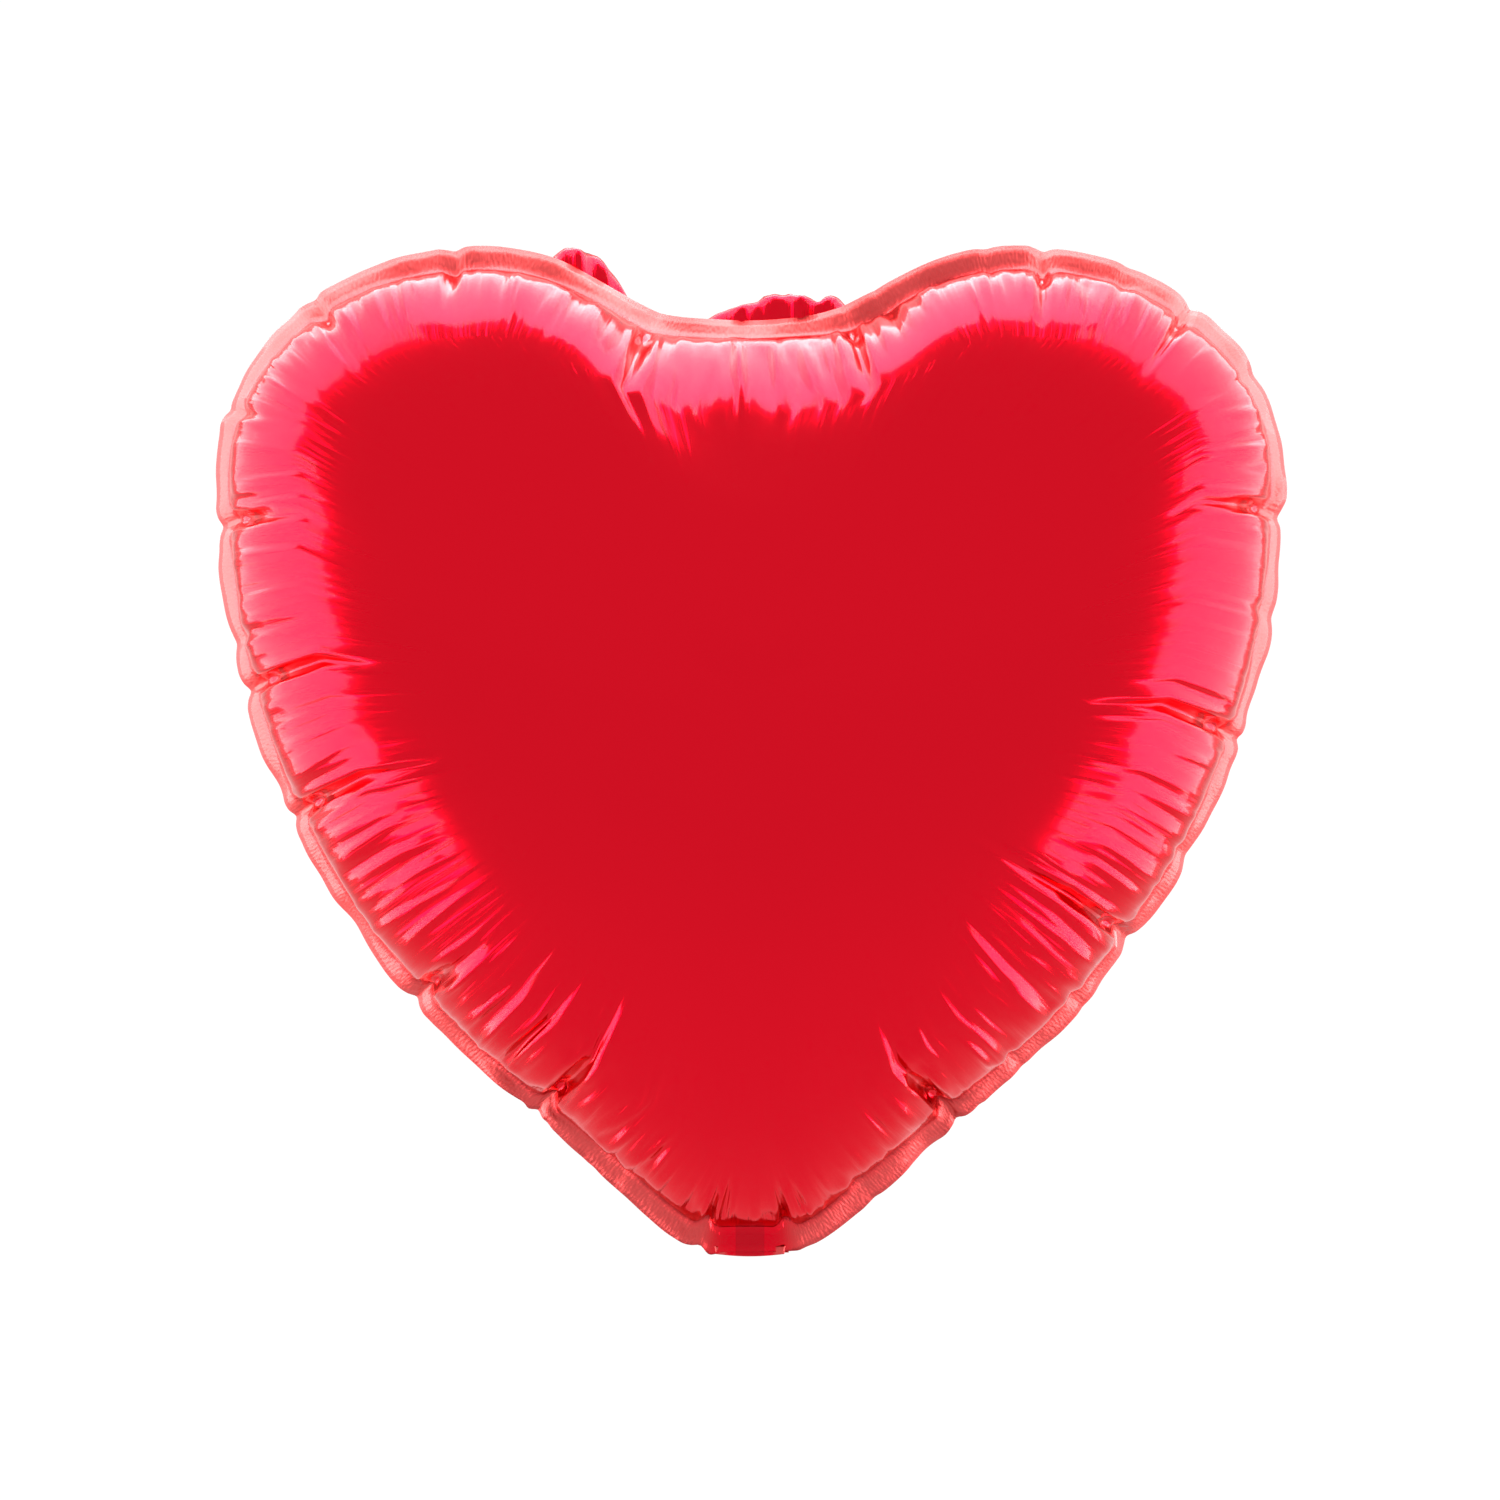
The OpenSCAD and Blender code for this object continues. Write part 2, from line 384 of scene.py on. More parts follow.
class Pattern:
    """The heart's edge and seam as evenly spaced points, with the folds along them."""

    PINCH_WIDTH = 0.0045
    PINCH_DEPTH = 0.0045
    NOTCH_REACH, NOTCH_STRENGTH = 0.010, 0.35
    # How wide the flatter dome near the tip is, in degrees round the hub
    TIP_SPREAD = 26

    def __init__(self, count, margin):
        corners = heart_edge()
        closed = np.vstack([corners, corners[:1]])
        run = np.r_[0, np.cumsum(np.linalg.norm(np.diff(closed, axis=0), axis=1))]
        self.count, self.length = count, run[-1]
        self.arc = np.arange(count) / count * self.length
        edge = np.stack([np.interp(self.arc, run, column) for column in closed.T], 1)
        self.edge = smoothed(edge, 0.010, self.length)
        along = unit_rows(np.roll(self.edge, -1, 0) - np.roll(self.edge, 1, 0))
        inward = np.stack([along[:, 1], -along[:, 0]], 1)
        self.seam = self.edge + smoothed(inward, 0.012, self.length) * margin
        self.inward = unit_rows(smoothed(inward, 0.055, self.length))
        self.folds = [(share * self.length, reach * MM, weight) for share, reach, weight in FOLDS]
        self.folds += [(share * self.length, self.NOTCH_REACH, self.NOTCH_STRENGTH)
                       for share in NOTCHES]
        angle = turn_of(self.seam)
        order = np.argsort(angle)
        self.angles, self.radii = angle[order], np.linalg.norm(self.seam - HUB, axis=1)[order]

    def gap(self, arc, place):
        """Signed distance along the edge from place to arc."""
        return (arc - place + self.length / 2) % self.length - self.length / 2

    def gap_to_tip(self, arc):
        """Signed distance along the edge from the tip to arc."""
        return self.gap(arc, self.length / 2)

    def pinch(self, inset):
        """Share of a fold at each point of a ring that lies inset from the seam."""
        share = np.zeros(self.count)
        for place, reach, weight in self.folds:
            width = self.PINCH_WIDTH * (1 + inset / 0.03)
            near = np.clip(1 - np.abs(self.gap(self.arc, place)) / width, 0, 1)
            share = np.maximum(share, weight * near * max(0, 1 - inset / (1.5 * reach)))
        return share

    def height(self, points, top):
        """Height of the blown-up panel over points of the plane: sqrt(1 - s^3), flatter by the tip."""
        turn = turn_of(points)
        full = np.interp(turn, self.angles, self.radii, period=2 * math.pi)
        share = np.clip(np.linalg.norm(points - HUB, axis=1) / full, 0, 1)
        tip = np.exp(-((np.degrees(turn) - 180) / self.TIP_SPREAD) ** 2)
        return top * (1 - share ** 3) ** (0.5 + 0.25 * tip)


class Unroller:
    """Turns a distance along the curved panel into a distance in the seam's plane, and back."""

    def __init__(self, radius, top):
        share = np.linspace(0, 1, 4001)
        profile = top * np.sqrt(1 - share ** 3)
        run = np.cumsum(np.hypot(np.diff(share) * radius, np.diff(profile)))
        self.share, self.run, self.radius = share, np.r_[0, run], radius

    def plan(self, inset):
        """Distance in the plane for a distance in from the seam along the panel."""
        return self.radius * (1 - np.interp(self.run[-1] - inset, self.run, self.share))

    def shrunk(self, share):
        return float(np.interp(share * self.run[-1], self.run, self.share))


# ---------------------------------------------------------------- rings of a shell

def add_ring(bm, points):
    """A closed loop of edges through the points; gives its vertices and edges."""
    verts = bmesh.ops.create_circle(bm, segments=len(points), radius=1.0)["verts"]
    for vert, point in zip(verts, points):
        vert.co = point
    return verts, list({edge for vert in verts for edge in vert.link_edges})


def join_rings(bm, rings):
    for outer, inner in zip(rings, rings[1:]):
        bmesh.ops.bridge_loops(bm, edges=outer[1] + inner[1])


def close_ring(bm, ring, centre):
    """Fills the innermost ring with a fan round its centre."""
    face = bmesh.ops.contextual_create(bm, geom=ring[1])["faces"]
    bmesh.ops.poke(bm, faces=face)["verts"][0].co = centre


def in_space(points, depth):
    """Points (x, z) of the seam's plane, moved to y = depth."""
    return np.stack([points[:, 0], np.broadcast_to(depth, len(points)), points[:, 1]], 1)


def set_places(mesh, places):
    mesh.vertices.foreach_set("co", np.ascontiguousarray(places, np.float32).ravel())
    mesh.update()


def get_places(mesh):
    places = np.empty(len(mesh.vertices) * 3, np.float32)
    mesh.vertices.foreach_get("co", places)
    return places.reshape(-1, 3).astype(float)


def new_object(name, bm):
    mesh = bpy.data.meshes.new(name)
    bm.to_mesh(mesh)
    bm.free()
    mesh.shade_smooth()
    made = bpy.data.objects.new(name, mesh)
    bpy.context.scene.collection.objects.link(made)
    return made


class Bag:
    """The two panels with their shared margin, laid out ring by ring, and then blown up."""

    # Height of the starting dome, and the heart's mean radius
    TOP, MEAN_RADIUS = 0.094, 0.185
    # From the seam the rings stand close, then twice as far apart, and then follow shares of
    # the way to the hub with 2, 4 and 8 times fewer points
    FINE_REACH, OUTER_REACH = 0.044, 0.062
    THINNING = ((0.62, 2), (0.3, 4), (0.0, 8))
    LAST_RINGS, SMALLEST_RING = 0.2, 0.06
    INNER_RADIUS, CROWDING = 0.16, 0.95
    MARGIN_RINGS = 3
    # Chance lean of the starting seam: over how many points it is even, and how large it is
    LEAN_POINTS, LEAN_SIZE = 7, 0.0024
    # How fast folds and lean fade from the seam, and what share of a fold the cut edge loses
    FADE, MARGIN_EASE = 0.02, 0.55
    # What stays fixed while the air goes in: the cut edge at the neck
    HELD_HALF_WIDTH, HELD_TOP = 0.0125, 0.004
    # Room left for the wrinkles' height at the middle of a panel
    WRINKLE_ROOM = 0.0006

    def __init__(self, air):
        self.air = air
        self.pattern = Pattern(air.around, air.margin)
        self.lay_out()

    def lay_out(self):
        """Works out every ring's starting shape and its place on the flat sheet."""
        p, air = self.pattern, self.air
        rng = np.random.default_rng(5)
        window = self.LEAN_POINTS / p.count * p.length
        sway = smoothed(rng.normal(0, 1, p.count), window, p.length) * self.LEAN_SIZE
        unroll = Unroller(self.MEAN_RADIUS, self.TOP)
        flat_seam = HUB + (p.seam - HUB) * air.flat_share
        step = p.length / p.count * air.flat_share
        drawn = p.inward * (p.PINCH_DEPTH * p.pinch(0))[:, None]
        self.rings = [(in_space(p.seam + drawn, sway), in_space(flat_seam, 0), 1.0, 0 * p.arc)]
        self.insets = [0.0]
        for j in range(1, self.MARGIN_RINGS + 1):
            out = j / self.MARGIN_RINGS
            spot = p.seam + (p.edge - p.seam) * out + drawn * (1 - self.MARGIN_EASE * out)
            self.rings.append((in_space(spot, sway * (1 + out)),
                               in_space(flat_seam + (p.edge - p.seam) * out, 0), 0.0,
                               np.full(p.count, -out * air.margin)))
        inset = 0.0
        while inset < self.OUTER_REACH:
            inset += step if inset < self.FINE_REACH else 2 * step
            self.insets.append(inset)
        counts = [p.count if inset < self.FINE_REACH + step else p.count // 2
                  for inset in self.insets[1:]]
        last = self.insets[-1]
        inner = p.seam + p.inward * unroll.plan(last)
        inner_flat = flat_seam + p.inward * last
        start = 1 - last / unroll.run[-1]
        shares = []
        share = 1.0
        while share > self.LAST_RINGS:
            thin = next(fewer for limit, fewer in self.THINNING if share > limit)
            share -= thin * step * self.CROWDING / self.INNER_RADIUS
            if share > self.SMALLEST_RING:
                shares.append((share, thin))
        for side in (-1, 1):
            for inset, count in zip(self.insets[1:], counts):
                pinch = p.pinch(inset)
                plan = unroll.plan(inset)
                spot = p.seam + p.inward * plan
                rise = p.height(spot, self.TOP)
                dip = p.PINCH_DEPTH * pinch * math.exp(-plan / self.FADE)
                spot = spot + p.inward * dip[:, None]
                depth = side * (rise - p.PINCH_DEPTH * pinch * np.clip(rise / self.FADE, 0, 1))
                depth = depth + sway * math.exp(-inset / self.FADE)
                skip = p.count // count
                self.rings.append((in_space(spot, depth)[::skip],
                                   in_space(flat_seam + p.inward * inset, 0)[::skip], 1.0,
                                   np.full(count, plan)))
            for share, thin in shares:
                drawn_in = unroll.shrunk(start * share) / unroll.shrunk(start)
                spot = HUB + (inner - HUB) * drawn_in
                flat = HUB + (inner_flat - HUB) * share
                plan = unroll.plan(last) + np.linalg.norm(inner - HUB, axis=1) * (1 - drawn_in)
                self.rings.append((in_space(spot, side * p.height(spot, self.TOP))[::thin],
                                   in_space(flat, 0)[::thin], 1.0, plan[::thin]))
        self.per_side = (len(self.rings) - 1 - self.MARGIN_RINGS) // 2

    def build(self):
        """The bag as one mesh: the closed body first, so that its faces can be turned outwards."""
        bm = bmesh.new()
        rings = [add_ring(bm, ring[0]) for ring in self.rings]
        first = 1 + self.MARGIN_RINGS
        for k, side in enumerate((-1, 1)):
            own = rings[first + k * self.per_side:first + (k + 1) * self.per_side]
            join_rings(bm, [rings[0]] + own)
            close_ring(bm, own[-1], (0, side * self.TOP, HUB[1]))
        bmesh.ops.recalc_face_normals(bm, faces=bm.faces)
        if max(bm.faces, key=lambda face: face.calc_center_median().y).normal.y < 0:
            bmesh.ops.reverse_faces(bm, faces=bm.faces)
        join_rings(bm, rings[:first])
        return new_object("bag", bm)

    def fill(self):
        """Blows the bag up with the cloth solver and gives each ring's places."""
        body = self.build()
        flat = np.vstack([ring[1] for ring in self.rings] + [in_space(HUB[None], 0)] * 2)
        pressed = np.concatenate([np.full(len(ring[0]), ring[2]) for ring in self.rings] + [[1, 1]])
        start = get_places(body.data)
        self.blow(body, flat, pressed, start)
        dg = bpy.context.evaluated_depsgraph_get()
        full = get_places(body.evaluated_get(dg).data)
        mesh = body.data
        bpy.data.objects.remove(body)
        bpy.data.meshes.remove(mesh)
        return self.fitted(full)

    def blow(self, body, flat, pressed, start):
        """Steps the cloth solver: the flat cut is the shape in which the foil has no tension."""
        air = self.air
        outer = self.rings[:1 + self.MARGIN_RINGS]
        edge = slice(len(outer[0][0]), sum(len(ring[0]) for ring in outer))
        neck = np.zeros(len(start), bool)
        neck[edge] = (np.abs(start[edge, 0]) < self.HELD_HALF_WIDTH) & (start[edge, 2] < self.HELD_TOP)
        for name, chosen in (("gas", pressed > 0), ("neck", neck)):
            group = body.vertex_groups.new(name=name)
            group.add([int(i) for i in np.flatnonzero(chosen)], 1.0, "REPLACE")
        body.shape_key_add(name="Basis")
        cut = body.shape_key_add(name="cut")
        cut.data.foreach_set("co", flat.astype(np.float32).ravel())
        cut.value = 0.0
        solver = body.modifiers.new("air", "CLOTH")
        foil = solver.settings
        foil.rest_shape_key = cut
        foil.vertex_group_mass = "neck"
        foil.use_pressure = True
        foil.uniform_pressure_force = air.pressure
        foil.vertex_group_pressure = "gas"
        foil.tension_stiffness, foil.compression_stiffness = 200.0, 100.0
        foil.shear_stiffness, foil.bending_stiffness = 60.0, 0.01
        foil.tension_damping = foil.compression_damping = foil.shear_damping = 5.0
        foil.bending_damping = 0.5
        foil.mass, foil.air_damping, foil.quality = 0.1, 1.0, 5
        foil.effector_weights.gravity = 0.0
        solver.collision_settings.use_collision = False
        solver.point_cache.frame_start, solver.point_cache.frame_end = 1, air.frames + 1
        for step in range(1, air.frames + 1):
            bpy.context.scene.frame_set(step)

    def fitted(self, full):
        """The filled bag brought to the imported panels' outline, as a list of rings."""
        low, high = full.min(0), full.max(0)
        wide, tall = PANEL_HIGH.x / high[0], (PANEL_HIGH.z - CREASE_GAP) / (high[2] - low[2])
        deep = (HALF_DEPTH - HALF_STACK - self.WRINKLE_ROOM) / max(high[1], -low[1])
        full = full * [wide, deep, tall] + [0, 0, CREASE_GAP - low[2] * tall]
        rings, at = [], 0
        for ring in self.rings:
            places = self.calmed(full[at:at + len(ring[0])])
            rings.append(np.c_[places, ring[3]])
            at += len(ring[0])
        return rings, full[at:]

    def calmed(self, places):
        """A ring with its chance buckles by the cleft smoothed out; the folds come later."""
        reach, window = 0.075, 0.022
        length = self.pattern.length
        arc = np.arange(len(places)) / len(places) * length
        near = np.exp(-(self.pattern.gap(arc, 0) / reach) ** 4)[:, None]
        return places + (smoothed(places, window, length) - places) * near


# ---------------------------------------------------------------- creases on the filled panels

def between(before, first, second, after, share):
    """A smooth curve's point at a share of the way from first to second."""
    return 0.5 * (2 * first + (second - before) * share
                  + (2 * before - 5 * first + 4 * second - after) * share ** 2
                  + (3 * first - before - 3 * second + after) * share ** 3)


def finer_ring(ring, count):
    """A ring with count points on a smooth curve through the ring's own."""
    spot = np.arange(count) * len(ring) / count
    low = np.floor(spot).astype(int)
    at = [ring[(low + k) % len(ring)] for k in (-1, 0, 1, 2)]
    return between(*at, (spot - low)[:, None])


class Panel:
    """One filled panel with its margin, on a net fine enough for the creases."""

    # How far in from the seam the net is fine enough for the creases
    CREASED = 0.050
    # A distance from the seam that stands for the middle of the panel
    FAR_IN = 0.2

    def __init__(self, bag, rings, centre, side):
        self.bag, self.side, self.pattern, self.centre = bag, side, bag.pattern, centre
        count, finer = bag.pattern.count, bag.air.finer
        self.rings = [finer_ring(ring, count * finer) for ring in rings[bag.MARGIN_RINGS:0:-1]]
        first = 1 + bag.MARGIN_RINGS + (0 if side < 0 else bag.per_side)
        own = [rings[0]] + rings[first:first + bag.per_side]
        for j, ring in enumerate(own):
            creased = ring[:, 3].min() < self.CREASED
            if creased and j > 1 and len(ring) < count:
                around = [finer_ring(own[k], count * finer) for k in (j - 2, j - 1, j, j + 1)]
                self.rings.append(between(*around, 0.5))
            self.rings.append(finer_ring(ring, count * finer if creased else len(ring) * finer))
        sizes = [len(ring) for ring in self.rings]
        arcs = [np.arange(size) / size * self.pattern.length for size in sizes]
        self.arc = np.r_[np.concatenate(arcs), 0.0]
        self.inset = np.r_[np.concatenate([ring[:, 3] for ring in self.rings]), self.FAR_IN]

    def build(self, name):
        bm = bmesh.new()
        rings = [add_ring(bm, ring[:, :3]) for ring in self.rings]
        join_rings(bm, rings)
        close_ring(bm, rings[-1], self.centre)
        bmesh.ops.recalc_face_normals(bm, faces=bm.faces)
        apex = max(bm.faces, key=lambda face: self.side * face.calc_center_median().y)
        if apex.normal.y * self.side < 0:
            bmesh.ops.reverse_faces(bm, faces=bm.faces)
        made = new_object(name, bm)
        self.crease(made.data)
        self.mark(made.data)
        return made

    def crease(self, mesh):
        """Moves the net's points along their normals into folds, pillows and wrinkles."""
        arc, inset = self.arc, self.inset
        normals = np.empty(len(mesh.vertices) * 3, np.float32)
        mesh.vertex_normals.foreach_get("vector", normals)
        normals = normals.reshape(-1, 3)
        creases = bpy.context.scene.balloon_creases
        rise = creases.crown * self.crown(arc, inset)
        rise = rise + creases.fold_depth * self.fold(arc, inset)
        rise = rise + creases.wrinkle_height * self.wrinkles(arc, inset, creases.wrinkles)
        beside_seam = 0.002
        panel = np.clip(inset / beside_seam, 0, 1)
        places = get_places(mesh) + normals * (rise * panel)[:, None]
        places[:, 1] += self.side * HALF_STACK
        places += margin_sway(self.pattern, arc, inset, self.bag.air.margin, places)
        places += self.cleft(arc, inset, creases.cleft_rise)
        set_places(mesh, places)

    def crown(self, arc, inset):
        """Pillow between neighbouring folds, from 0 to 1."""
        real_fold, full_span, seam_reach, reach = 0.6, 0.05, 0.004, 0.026
        ends = np.array([place for place, _, weight in self.pattern.folds if weight > real_fold])
        ends.sort()
        after = np.searchsorted(ends, arc) % len(ends)
        span = (ends[after] - ends[after - 1]) % self.pattern.length
        share = ((arc - ends[after - 1]) % self.pattern.length) / span
        pillow = (1 - np.abs(2 * share - 1) ** 2.5) * np.minimum(1, span / full_span)
        return pillow * np.clip(inset / seam_reach, 0, 1) * np.exp(-(inset / reach) ** 2)

    def fold(self, arc, inset):
        """Sharp valleys that run in from the sealed edge, with a low ridge on both sides."""
        seam_share, seam_reach = 0.4, 0.003
        least_width, more_width = 0.0010, 0.0014
        ridge_place, ridge_width, ridge_height = 0.0042, 0.0020, 0.32
        depth = np.zeros(len(arc))
        rng = np.random.default_rng(11 + self.side)
        for place, reach, weight in self.pattern.folds:
            if self.side > 0:
                reach = reach * rng.uniform(0.7, 1.2)
            lean = rng.normal(0, 0.05)
            off = np.abs(self.pattern.gap(arc, place) - lean * inset)
            share = np.clip(1 - inset / reach, 0, 1)
            run = share ** 0.9 * np.clip(inset / seam_reach + seam_share, 0, 1)
            width = least_width + more_width * share
            ridge = np.exp(-((off - ridge_place) / ridge_width) ** 2)
            depth += weight * run * (ridge_height * ridge - np.exp(-off / width))
        return depth

    def wrinkles(self, arc, inset, count):
        """Fine wrinkles that run in from the seam and end in a point; they are tallest low on
        the flanks and at the cleft."""
        usual_width = 0.0015
        rng = np.random.default_rng(23 + self.side)
        total = np.zeros(len(arc))
        places = np.r_[rng.uniform(0, 1, count), CLEFT_STREAKS]
        shares, reaches = zip(*WRINKLE_REACH)
        for place in places:
            reach = np.interp(place, shares, reaches) * MM * rng.uniform(0.45, 1.15)
            start = rng.uniform(0.000, 0.006)
            width = rng.uniform(0.0010, 0.0024)
            lean, height = rng.normal(0, 0.09), rng.uniform(0.35, 1.0) * rng.choice([-1, 1])
            way = (inset - start) / reach
            near = (way > 0) & (way < 1)
            off = self.pattern.gap(arc[near], place * self.pattern.length)
            off = off - lean * (inset[near] - start)
            shape = np.sin(math.pi * way[near] ** 0.6)
            narrow = width * (1.15 - 0.75 * way[near])
            from_tip = abs(2 * place - 1)
            taller = 1 + 0.9 * math.exp(-((from_tip - 0.18) / 0.08) ** 2)
            taller += 0.8 * math.exp(-((1 - from_tip) / 0.06) ** 4)
            height = height * taller * width / usual_width
            total[near] += height * shape * np.exp(-(off / narrow) ** 2)
        return total

    def cleft(self, arc, inset, rise):
        """The back panel's loose foil stands up behind the cleft."""
        if self.side < 0:
            return np.zeros((len(arc), 3))
        gap = self.pattern.gap(arc, 0.0)
        spread = np.zeros(len(arc))
        for middle, half_length in ((-0.058, 0.027), (0.012, 0.041)):
            spread += np.clip(1 - ((gap - middle) / half_length) ** 2, 0, None)
        crest_inset = 0.006
        deep = np.clip(inset, 0, None) / crest_inset
        bend = np.sin(gap / 0.0021) * np.cos(gap / 0.0063) + 0.8 * np.sin(gap / 0.0047)
        lift = rise * spread * deep * np.exp(1 - deep)
        drawn_forward, crinkle = -0.95, 0.14
        back = lift * (drawn_forward + crinkle * bend)
        return np.stack([0 * lift, back, lift], 1)

    def mark(self, mesh):
        """Writes the margin mask and the map that the patterns along the seam read."""
        mask = mesh.attributes.new("margin", "FLOAT", "POINT")
        soft_edge, neck_half_width = 0.0008, 0.017
        edge = np.clip(0.5 - self.inset / soft_edge, 0, 1)
        neck = self.pattern.gap_to_tip(self.arc)
        edge = edge * (1 - np.exp(-(neck / neck_half_width) ** 6))
        mask.data.foreach_set("value", edge.astype(np.float32))
        write_seam_map(mesh, self.arc, self.inset, self.pattern.length)


def write_seam_map(mesh, arc, inset, length):
    """UV map in metres: u along the seam, v in from it."""
    corner = np.empty(len(mesh.loops), np.int32)
    mesh.loops.foreach_get("vertex_index", corner)
    u, v = arc[corner], inset[corner]
    starts = np.empty(len(mesh.polygons), np.int32)
    mesh.polygons.foreach_get("loop_start", starts)
    biggest = np.maximum.reduceat(u, starts)
    sizes = np.diff(np.r_[starts, len(u)])
    across = np.repeat(biggest, sizes) - u > length / 2
    u = u + across * length
    layer = mesh.uv_layers.new(name="seam")
    layer.data.foreach_set("uv", np.stack([u, v], 1).astype(np.float32).ravel())


def margin_sway(pattern, arc, inset, margin, places):
    """The sealed margin leans back, most on the flanks, and waves a little; the panels follow
    it near the seam."""
    back, wave_height, kink_height, kink_width = 0.0024, 0.0013, 0.0016, 0.0022
    neck_half_width = 0.030
    corner_place, corner_width, corner_drop = 0.0150, 0.0032, 0.0018
    flank_place, flank_width, swell_reach = 0.46, 0.32, 0.07
    out = np.clip(-inset / margin, 0, 1)
    turn = 2 * math.pi * arc / pattern.length
    wave = 0.5 * np.sin(23 * turn + 0.6) + 0.3 * np.sin(41 * turn + 2.0) + 0.2 * np.sin(67 * turn)
    tip_gap = pattern.gap_to_tip(arc)
    neck = 1 - np.exp(-(tip_gap / neck_half_width) ** 4)
    kink = np.zeros(len(arc))
    for place, _, weight in pattern.folds:
        kink = np.maximum(kink, weight * np.exp(-np.abs(pattern.gap(arc, place)) / kink_width))
    lean = (back * out ** 1.5 + wave_height * wave * out + kink_height * kink * out) * neck
    corner = np.exp(-((np.abs(tip_gap) - corner_place) / corner_width) ** 2)
    flank = np.exp(-((np.abs(2 * arc / pattern.length - 1) - flank_place) / flank_width) ** 4)
    angle = FLANK_LEAN * flank * (0.85 + 0.15 * wave)
    outward = unit_rows((places - np.array([0, 0, HUB[1]])) * np.array([1, 0, 1]))
    drawn_in = margin * out * (1 - np.cos(angle))
    swell = margin * (1 - math.cos(FLANK_LEAN)) * flank
    swell = swell * np.exp(-(np.clip(inset, 0, None) / swell_reach) ** 2)
    sway = np.stack([0 * lean, lean + margin * out * np.sin(angle), -corner_drop * corner * out], 1)
    return sway + outward * (swell - drawn_in)[:, None]


def thicken(made, thickness, offset=-1.0):
    wall = made.modifiers.new("gauge", "SOLIDIFY")
    wall.thickness, wall.offset = thickness, offset
    wall.use_even_offset = False
    wall.use_rim = True
    return made


# ---------------------------------------------------------------- operators

class BALLOON_OT_panels(bpy.types.Operator):
    """Blow up the two foil panels and crease them"""
    bl_idname = "balloon.panels"
    bl_label = "Foil panels"

    def execute(self, context):
        scene = context.scene
        bag = Bag(scene.balloon_air)
        rings, centres = bag.fill()
        foil = material("red_foil", foil_finish, scene.balloon_finish)
        for name, side, centre, node, slot in (
                ("front_foil", -1, centres[0], "front_panel", "foil_front"),
                ("back_foil", 1, centres[1], "back_panel", "foil_back")):
            panel = Panel(bag, rings, centre, side).build(name)
            thicken(panel, FOIL)
            panel.data.materials.append(foil)
            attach(panel, "envelope")
            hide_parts(node)
        self.seal(scene, bag, rings)
        return {"FINISHED"}

    def seal(self, scene, bag, rings):
        """The fused layer between the two margins."""
        pattern, count = bag.pattern, bag.pattern.count * bag.air.finer
        bm = bmesh.new()
        order = rings[bag.MARGIN_RINGS:0:-1] + [rings[0]]
        loops = [finer_ring(ring, count) for ring in order]
        arc = np.tile(np.arange(count) / count * pattern.length, len(loops))
        inset = np.repeat(np.linspace(-bag.air.margin, 0, len(loops)), count)
        join_rings(bm, [add_ring(bm, loop[:, :3]) for loop in loops])
        bmesh.ops.recalc_face_normals(bm, faces=bm.faces)
        band = new_object("edge_seal", bm)
        places = get_places(band.data)
        set_places(band.data, places + margin_sway(pattern, arc, inset, bag.air.margin, places))
        thicken(band, 2 * FILM, offset=0.0)
        band.data.materials.append(material("heat_seal", seal_finish, scene.balloon_finish))
        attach(band, "envelope")
        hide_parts("edge_weld")


class Strip:
    """A narrow film that follows a line in the YZ plane, as a grid of points."""

    # The sealed strip down each side of the tail, as a share of its half width, and its soft edge
    SEAL_FROM, SEAL_EDGE = 0.70, 0.03
    # Where the film lies on the map that the panels' streaks follow
    MAP_ALONG, MAP_INWARD, MAP_LENGTH = 0.02, 0.03, 1.0

    def __init__(self, width, start, end, line, corner=0.0, across=28, along=96):
        bm = bmesh.new()
        bmesh.ops.create_grid(bm, x_segments=across, y_segments=along, size=0.5)
        self.bm = bm
        grid = np.array([vert.co for vert in bm.verts])
        self.run = start + (grid[:, 1] + 0.5) * (end - start)
        left = np.clip(end - self.run, 0, corner)
        cut = corner - np.sqrt(np.clip(corner ** 2 - (corner - left) ** 2, 0, None))
        waist = WAIST * np.exp(-(self.run / WAIST_RUN) ** 2) if line is fold_line else 0
        self.x = grid[:, 0] * (width - 2 * cut - 2 * waist)
        self.share = 2 * grid[:, 0]
        self.spots, self.facing = line(self.run)

    def made(self, name, side, gap, thickness, finish):
        """Places the film at a distance on one side of its line, and gives it its gauge."""
        offset = side * gap
        places = np.stack([self.x, self.spots[:, 0] + offset * self.facing[:, 0],
                           self.spots[:, 1] + offset * self.facing[:, 1]], 1)
        film = new_object(name, self.bm)
        set_places(film.data, places)
        thicken(film, thickness, offset=0.0)
        mask = film.data.attributes.new("margin", "FLOAT", "POINT")
        edge = np.clip((np.abs(self.share) - self.SEAL_FROM) / self.SEAL_EDGE, 0, 1)
        mask.data.foreach_set("value", edge.astype(np.float32))
        inward = np.full(len(self.run), self.MAP_INWARD)
        write_seam_map(film.data, self.x + self.MAP_ALONG, inward, self.MAP_LENGTH)
        film.data.materials.append(finish)
        return film


def fold_line(run):
    """The tail's middle line: down the neck, round the crease at the origin, up behind the tip."""
    first, last, points = -0.010, 0.090, 20001
    fine = np.linspace(first, last, points)
    turned = np.clip((fine + FOLD_SOFTNESS) / (2 * FOLD_SOFTNESS), 0, 1)
    angle = FOLD_ANGLE * turned ** 2 * (3 - 2 * turned)
    step = fine[1] - fine[0]
    y, z = np.cumsum(np.sin(angle)) * step, -np.cumsum(np.cos(angle)) * step
    z -= z[-1] + y[-1] / math.tan(FOLD_ANGLE)
    at = np.interp(run, fine, angle)
    spots = np.stack([np.interp(run, fine, y), np.interp(run, fine, z)], 1)
    return spots, np.stack([np.cos(at), np.sin(at)], 1)


def straight_up(run):
    """A line straight up from the crease."""
    return np.stack([0 * run, run], 1), np.stack([np.ones_like(run), 0 * run], 1)


